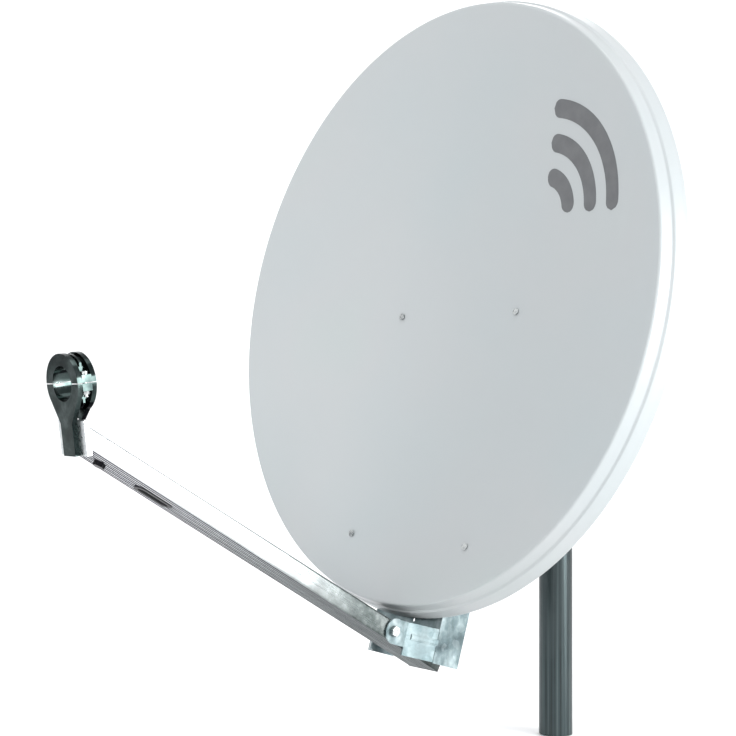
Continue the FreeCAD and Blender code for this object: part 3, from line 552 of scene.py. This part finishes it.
STATIONS = np.linspace(0, 1, 25)
outer = arm_skin(0, groove)
inner = arm_skin(ARM_WALL, np.zeros(len(floor_x)))
tube = np.concatenate([outer, inner[::-1], outer[:1]])
arm = made("feed_arm_tube", tube, grid_faces(len(tube), tube.shape[1], around=True),
           "arm", arm_sheet, smooth_angle=32)
arm.data.materials.append(arm_painted_shade.material)
# faces that do not face across the arm, its top and underside, take the painted shade
for face in arm.data.polygons:
    face.material_index = int(abs(face.normal.x) < 0.5)

# the oval slot is cut through the floor by a prism and the cut is kept in the mesh
SLOT_AT, SLOT_LONG, SLOT_WIDE = -404 * MM, 50 * MM, 18 * MM
SLOT_LOW, SLOT_HIGH = -25 * MM, -6 * MM
SLOT_POINTS = 48
angle = np.linspace(0, 2 * math.pi, SLOT_POINTS, endpoint=False)
oval_x = SLOT_WIDE / 2 * np.cos(angle)
oval_along = SLOT_WIDE / 2 * np.sin(angle) + np.sign(np.sin(angle)) * (SLOT_LONG - SLOT_WIDE) / 2
cutter_mesh = bpy.data.meshes.new("slot_cutter")
prism = np.stack([in_arm(oval_x, SLOT_AT + oval_along, np.full(SLOT_POINTS, height))
                  for height in (SLOT_LOW, SLOT_HIGH)])
walls = grid_faces(2, SLOT_POINTS, around=True).tolist()
ends = [list(range(SLOT_POINTS))[::-1], list(range(SLOT_POINTS, 2 * SLOT_POINTS))]
cutter_mesh.from_pydata(prism.reshape(-1, 3).tolist(), [], walls + ends)
cutter = bpy.data.objects.new("slot_cutter", cutter_mesh)
bpy.context.scene.collection.objects.link(cutter)
cut = arm.modifiers.new("slot", "BOOLEAN")
cut.object = cutter
cut.solver = "EXACT"
opened = bpy.data.meshes.new_from_object(arm.evaluated_get(bpy.context.evaluated_depsgraph_get()))
arm.modifiers.clear()
arm.data = opened
bpy.data.objects.remove(cutter)
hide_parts("feed_arm")

# ------------------------------------------------------------------ the feed holder
# Two die-cast halves that close round the feed's neck, glossy; their near-black colour is a painted dark
# reflection and its paler patches are painted glints.

holder_casting = Finish("holder_casting", Metallic=1.0)
cast_skin_and_glints = holder_casting.noise(34, 5, roughness=0.6)
# near-black base colour: a painted dark reflection, with paler patches as painted glints
holder_casting.uses("Base Color", holder_casting.ramp(
    cast_skin_and_glints, (0.30, (0.012, 0.017, 0.017)), (0.52, (0.036, 0.050, 0.048)),
    (0.66, (0.080, 0.100, 0.098)), (0.78, (0.220, 0.250, 0.245))))
holder_casting.uses("Roughness", holder_casting.ramp(cast_skin_and_glints, (0.3, 0.10), (0.8, 0.22)))
holder_casting.bumps(holder_casting.noise(300, 3), 0.08, 0.0003)
holder_casting.on(nodes["lnb_saddle"], nodes["lnb_cap"])
eased(0.7 * MM, "lnb_saddle", "lnb_cap")

# ------------------------------------------------------- floor, light and the camera
# A pale floor that curves up into a backdrop, soft light from the front and a strong
# one from the dish's left, and a level camera beside the feed.

paper = Finish("paper", Roughness=0.9)
paper.uses("Base Color", paper.ramp(paper.noise(2), (0.3, 0.90), (0.7, 0.92)))
FLOOR_HALF, CURVE, FLOOR_GAP = 6.0, 1.5, 0.001
CURVE_AT, WALL_TOP = 2.2, 5.0
bend = np.radians(np.linspace(0, 90, 17))
sweep_y = np.concatenate([[-FLOOR_HALF], CURVE_AT + CURVE * np.sin(bend), [CURVE_AT + CURVE]])
sweep_z = np.concatenate([[0], CURVE - CURVE * np.cos(bend), [WALL_TOP]]) - FLOOR_GAP
VIEW_TURN = 0.8411
side = np.array([math.cos(VIEW_TURN), math.sin(VIEW_TURN), 0])
away = np.array([-math.sin(VIEW_TURN), math.cos(VIEW_TURN), 0])
floor_points = (np.multiply.outer(sweep_y, away)[:, None]
                + np.multiply.outer(np.array([-FLOOR_HALF, FLOOR_HALF]), side)[None]
                + np.multiply.outer(sweep_z, [0, 0, 1])[:, None])
floor_mesh = bpy.data.meshes.new("floor")
floor_mesh.from_pydata(floor_points.reshape(-1, 3).tolist(), [],
                       grid_faces(len(sweep_y), 2)[:, ::-1].tolist())
floor_mesh.shade_smooth()
floor = bpy.data.objects.new("floor", floor_mesh)
bpy.context.scene.collection.objects.link(floor)
paper.on(floor)

world = bpy.data.worlds.new("studio")
world.use_nodes = True
background = world.node_tree.nodes["Background"]
background.inputs["Color"].default_value = (0.95, 0.97, 1.0, 1)
background.inputs["Strength"].default_value = 0.72
bpy.context.scene.world = world


def soft_light(name, place, target, size, power):
    """A square soft box at a place, facing a target."""
    data = bpy.data.lights.new(name, "AREA")
    data.size = size
    data.energy = power
    obj = bpy.data.objects.new(name, data)
    obj.location = place
    facing = Vector(target) - Vector(place)
    obj.rotation_euler = facing.to_track_quat("-Z", "Y").to_euler()
    bpy.context.scene.collection.objects.link(obj)


soft_light("front_box", (-1.2, -3.0, 2.2), (0, -0.3, 0.6), 2.2, 30)
soft_light("camera_box", (1.8, -3.3, 1.35), (0, -0.3, 0.4), 1.3, 60)
soft_light("side_box", (3.1, 1.0, 0.95), (0, -0.4, 0.55), 1.6, 150)
soft_light("back_box", (-1.5, 2.6, 2.4), (0, 0, 0.6), 1.8, 40)
soft_light("top_box", (0.2, -0.6, 3.4), (0, -0.2, 0.5), 2.4, 40)
bpy.context.scene.view_settings.view_transform = "Standard"

CAMERA_PLACE = RIM_CENTRE + np.array([1428.6, -1383.2, -110.5]) * MM
camera_data = bpy.data.cameras.new("camera")
camera_data.lens = 70.89
camera_data.sensor_width = 36
camera_data.shift_y = 0.0144
camera_data.clip_start, camera_data.clip_end = 0.05, 50
camera = bpy.data.objects.new("camera", camera_data)
camera.location = CAMERA_PLACE
camera.rotation_euler = (math.pi / 2, 0, VIEW_TURN)
bpy.context.scene.collection.objects.link(camera)
bpy.context.scene.camera = camera
